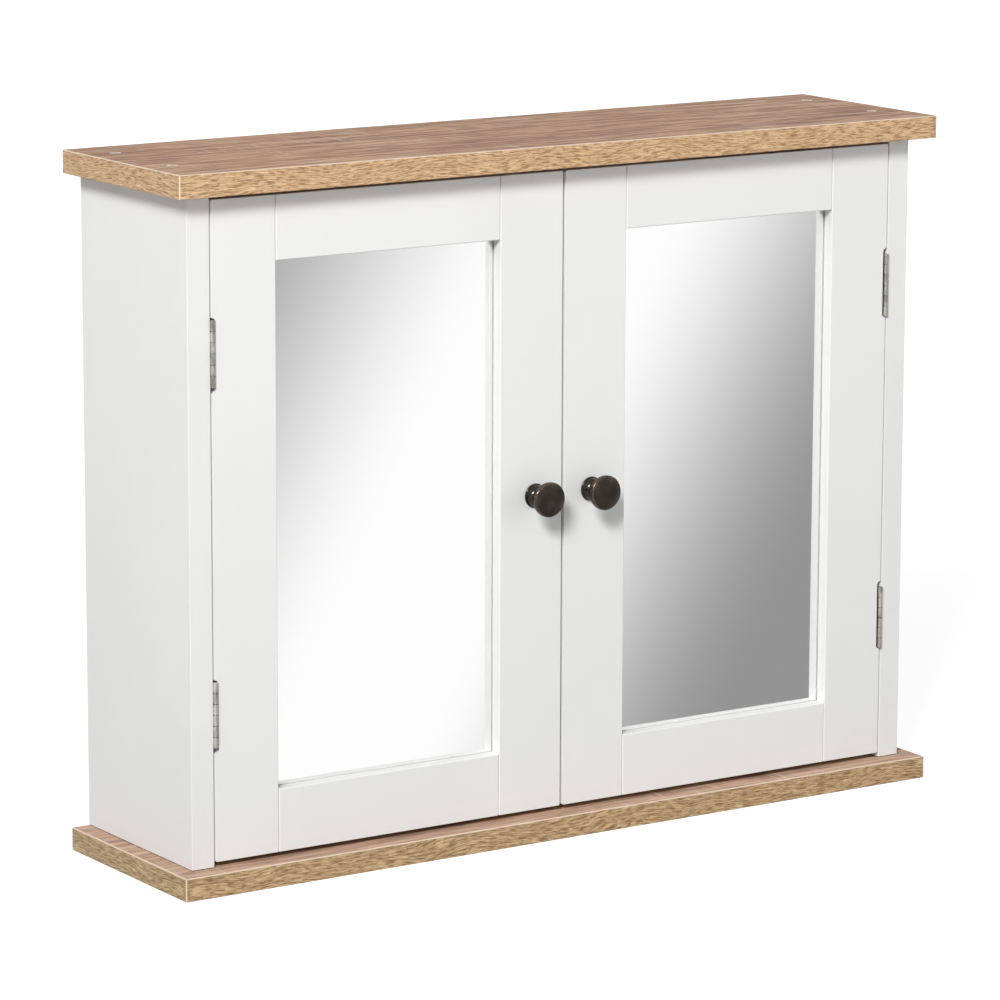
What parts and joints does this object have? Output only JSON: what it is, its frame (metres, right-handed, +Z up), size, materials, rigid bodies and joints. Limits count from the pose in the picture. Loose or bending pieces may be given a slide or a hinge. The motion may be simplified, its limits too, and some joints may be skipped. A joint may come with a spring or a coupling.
{
  "type": "bathroom mirror cabinet",
  "caption": "Wall-hung bathroom cabinet with framed mirror doors on butt hinges, white panels, oak-look top and bottom boards, mushroom knobs and an inside shelf.",
  "frame": {"origin": "middle of the underside of the bottom board", "axes": "+X to the right as seen from the front, +Y back to the wall, +Z up; the doors face -Y"},
  "size_m": [0.58, 0.1546, 0.455],
  "materials": {
    "hardboard": "white-faced hardboard",
    "screw_steel": "bright zinc",
    "oak_board": "oak-look laminate, satin",
    "oak_edging": "oak-look edge band, satin",
    "dowel_wood": "plain beech",
    "white_board": "white satin paint",
    "white_frame": "white satin paint",
    "catch_plastic": "white moulded plastic",
    "magnet": "dark ferrite",
    "bronze": "dark antique bronze",
    "hinge_steel": "nickel plated",
    "mirror_glass": "silvered glass",
    "plain_steel": "zinc plated"
  },
  "bodies": {
    "carcass": {"back_panel": "hardboard", "back_panel_screws": "screw_steel", "bottom_board": "oak_board", "bottom_board_edging": "oak_edging", "bottom_screws": "screw_steel", "carcass_dowels": "dowel_wood", "catch_screws": "screw_steel", "frame_hinge_screws": "screw_steel", "hanging_rail": "white_board", "left_catch_housing": "catch_plastic", "left_catch_magnet": "magnet", "left_lower_frame_leaf": "hinge_steel", "left_lower_hinge_pin": "hinge_steel", "left_side_panel": "white_board", "left_upper_frame_leaf": "hinge_steel", "left_upper_hinge_pin": "hinge_steel", "rail_dowels": "dowel_wood", "right_catch_housing": "catch_plastic", "right_catch_magnet": "magnet", "right_lower_frame_leaf": "hinge_steel", "right_lower_hinge_pin": "hinge_steel", "right_side_panel": "white_board", "right_upper_frame_leaf": "hinge_steel", "right_upper_hinge_pin": "hinge_steel", "shelf": "white_board", "shelf_pins": "plain_steel", "top_board": "oak_board", "top_board_edging": "oak_edging", "top_screws": "screw_steel"},
    "left_door": {"left_bottom_rail": "white_frame", "left_door_screws": "screw_steel", "left_hinge_stile": "white_frame", "left_knob": "bronze", "left_knob_screw": "screw_steel", "left_lower_door_leaf": "hinge_steel", "left_meeting_stile": "white_frame", "left_mirror": "mirror_glass", "left_mirror_backing": "hardboard", "left_mirror_clips": "plain_steel", "left_strike_plate": "plain_steel", "left_top_rail": "white_frame", "left_upper_door_leaf": "hinge_steel"},
    "right_door": {"right_bottom_rail": "white_frame", "right_door_screws": "screw_steel", "right_hinge_stile": "white_frame", "right_knob": "bronze", "right_knob_screw": "screw_steel", "right_lower_door_leaf": "hinge_steel", "right_meeting_stile": "white_frame", "right_mirror": "mirror_glass", "right_mirror_backing": "hardboard", "right_mirror_clips": "plain_steel", "right_strike_plate": "plain_steel", "right_top_rail": "white_frame", "right_upper_door_leaf": "hinge_steel"}
  },
  "joints": [
    {"name": "left_door_swing", "type": "hinge", "parent": "carcass", "child": "left_door", "pos_m": [-0.2601, -0.0605, 0.2275], "axis": [0, 0, -1], "range_deg": [0, 175]},
    {"name": "right_door_swing", "type": "hinge", "parent": "carcass", "child": "right_door", "pos_m": [0.2601, -0.0605, 0.2275], "axis": [0, 0, 1], "range_deg": [0, 175]}
  ]
}
